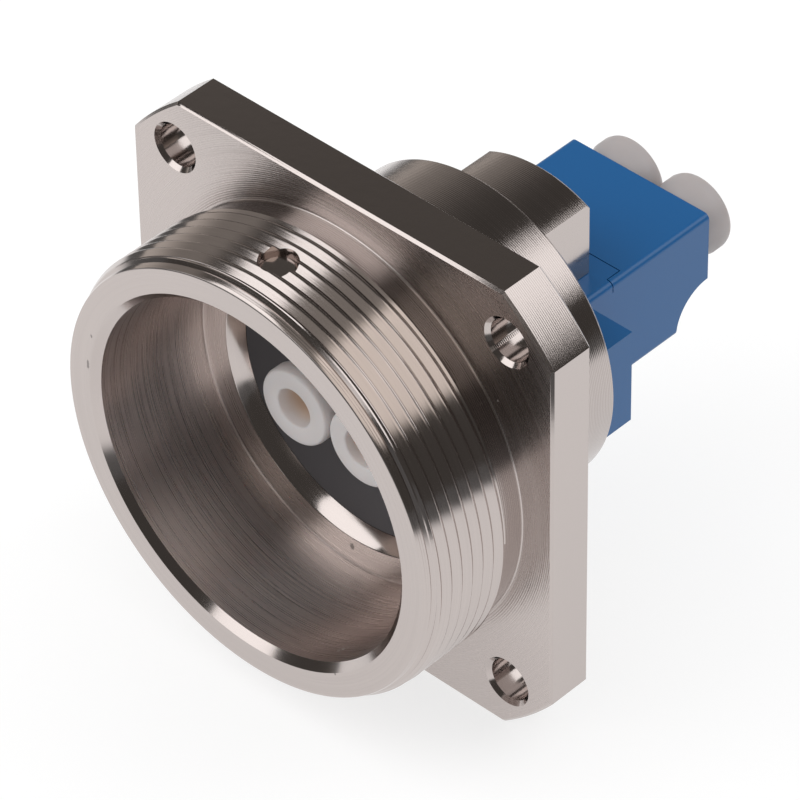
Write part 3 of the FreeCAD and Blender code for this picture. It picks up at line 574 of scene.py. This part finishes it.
nickel, tree, shader = new_material("nickel_plate", NICKEL, 0.14, metallic=1.0)
ripple = add(tree, "ShaderNodeTexNoise", Vector=add(tree, "ShaderNodeTexCoord").outputs["Object"],
             Scale=1.5 / MM, Detail=3.0).outputs["Fac"]
bump = add(tree, "ShaderNodeBump", Height=ripple, Strength=1.0, Distance=0.003 * MM)
tree.links.new(bump.outputs[0], shader.inputs["Normal"])
rim_dents = [((-14.0, RIM, 5.0), (0.1, 0.3, 0.16)), ((-14.5, RIM, 2.2), (0.13, 0.3, 0.5)),
             ((8.1, RIM, -12.05), (0.1, 0.3, 0.12)), ((16.2, RIM, -3.8), (0.09, 0.3, 0.14))]
flange_chips = [((13.77, FLANGE_FRONT, 8.17), (0.09, 0.2, 0.26)),
                ((12.52, FLANGE_FRONT, 6.44), (0.08, 0.2, 0.1)),
                ((14.24, FLANGE_FRONT, 9.61), (0.08, 0.2, 0.1))]
floor_dents = [((-0.1, -2.9, -12.45), (0.24, 0.3, 0.34))]
bore_chips = [((6.51, -11.2, -12.28), (0.14, 0.18, 0.12)), ((6.76, -11.0, -12.15), (0.2, 0.16, 0.16)),
              ((6.95, -10.7, -12.04), (0.12, 0.12, 0.1))]
# The faced copy is painted 5 per cent brighter and the bored copy a third brighter, as painted light.
faced = turned_finish("faced_nickel_painted_light", 0.26, 0.8, 0.006, 0.0, 0.0015, 0.02, floor_dents, flange_chips, painted_light_gain=1.05)
bored = turned_finish("bored_nickel_painted_light", 0.29, 0.8, 0.006, 0.06, 0.0015, 0.02, floor_dents, bore_chips, painted_light_gain=1.33)
ringed = turned_finish("ringed_nickel", 0.16, 0.6, 0.005, 0.16, 0.0015, 0.02, [], [])
threaded = turned_finish("threaded_nickel", 0.13, 0.4, 0.0, 0.0, 0.0012, 0.02, rim_dents, [])
for finish in (nickel, faced, bored, ringed, threaded):
    housing.data.materials.append(finish)

# %% [markdown]
# ## Plastics and rubber
# The adapter is moulded from a blue plastic with a fine satin skin, and the caps from a soft, slightly clouded one; the
# rear caps get a darker copy of that plastic as painted shade. The seal is plain dark rubber.

# %% Blue plastic
blue, tree, shader = new_material("blue_plastic", (0.0075, 0.11, 0.315), 0.3)
grain = add(tree, "ShaderNodeTexNoise", Vector=add(tree, "ShaderNodeTexCoord").outputs["Object"],
            Scale=9 / MM, Detail=3.0).outputs["Fac"]
bump = add(tree, "ShaderNodeBump", Height=grain, Strength=1.0, Distance=0.002 * MM)
tree.links.new(bump.outputs[0], shader.inputs["Normal"])

# %% [markdown]
# Light goes through the caps and comes out warmer where the plastic is thick, so the blind hole in a cap's face looks
# faintly brown. This shade is painted: the distance to the cap's own axis marks the inside of the hole, and there the
# colour is mixed toward brown.

# %% Cap plastic
def cap_plastic(name, colour):
    """Soft clouded plastic with painted brown shade inside the blind holes of the front caps."""
    made, tree, shader = new_material(name, colour, 0.42)
    shader.inputs["Subsurface Weight"].default_value = 0.5
    shader.inputs["Subsurface Radius"].default_value = (1.0 * MM, 0.8 * MM, 0.7 * MM)
    shader.inputs["Subsurface Scale"].default_value = 1.0
    place = add(tree, "ShaderNodeTexCoord").outputs["Object"]
    cloud = add(tree, "ShaderNodeTexNoise", Vector=place, Scale=1.2 / MM, Detail=3.0).outputs["Fac"]
    bump = add(tree, "ShaderNodeBump", Height=cloud, Strength=1.0, Distance=0.006 * MM)
    tree.links.new(bump.outputs[0], shader.inputs["Normal"])
    parts = add(tree, "ShaderNodeSeparateXYZ", Vector=place)
    across = maths(tree, "SUBTRACT", maths(tree, "ABSOLUTE", parts.outputs[0]), 3.125 * MM)
    above = maths(tree, "ADD", parts.outputs[2], 0.25 * MM)
    from_axis = maths(tree, "SQRT", maths(tree, "ADD", maths(tree, "MULTIPLY", across, across),
                                          maths(tree, "MULTIPLY", above, above)))
    deep = maths(tree, "MULTIPLY", fade(tree, from_axis, 1.42 * MM, 1.5 * MM, 1, 0),
                 fade(tree, parts.outputs[1], -4.9 * MM, -3.2 * MM, 0, 1))
    # Painted shade: inside the hole the colour is mixed toward a brown.
    painted_hole_shade = add(tree, "ShaderNodeMix", {"data_type": "RGBA"}, i0=deep, i6=(*colour, 1), i7=(0.72, 0.55, 0.42, 1))
    tree.links.new(painted_hole_shade.outputs[2], shader.inputs["Base Color"])
    return made


soft_white = cap_plastic("cap_plastic", (0.76, 0.725, 0.72))
# Painted shade: the rear caps get the same plastic with a darker colour.
rear_painted_shade_white = cap_plastic("rear_cap_plastic", (0.45, 0.415, 0.412))

# %% Rubber and the hidden pieces
rubber, tree, shader = new_material("black_rubber", (0.085, 0.08, 0.085), 0.6)
steel, tree, shader = new_material("steel", (0.45, 0.44, 0.43), 0.25, metallic=1.0)
natural, tree, shader = new_material("holder_plastic", (0.55, 0.53, 0.48), 0.4)
ceramic, tree, shader = new_material("zirconia", (0.80, 0.79, 0.75), 0.15)

finishes = {"key_pin": nickel, "face_seal": rubber, "adapter_body": blue, "adapter_lid": blue}
for name, node in nodes.items():
    if "screw" in name:
        finishes[name] = steel
    elif "holder" in name:
        finishes[name] = natural
    elif "ferrule" in name:
        finishes[name] = ceramic
for name, cap in caps.items():
    cap.data.materials.append(soft_white if name.startswith("front") else rear_painted_shade_white)
for name, finish in finishes.items():
    nodes[name].data.materials.clear()
    nodes[name].data.materials.append(finish)
print(len(finishes), "nodes have their finish")
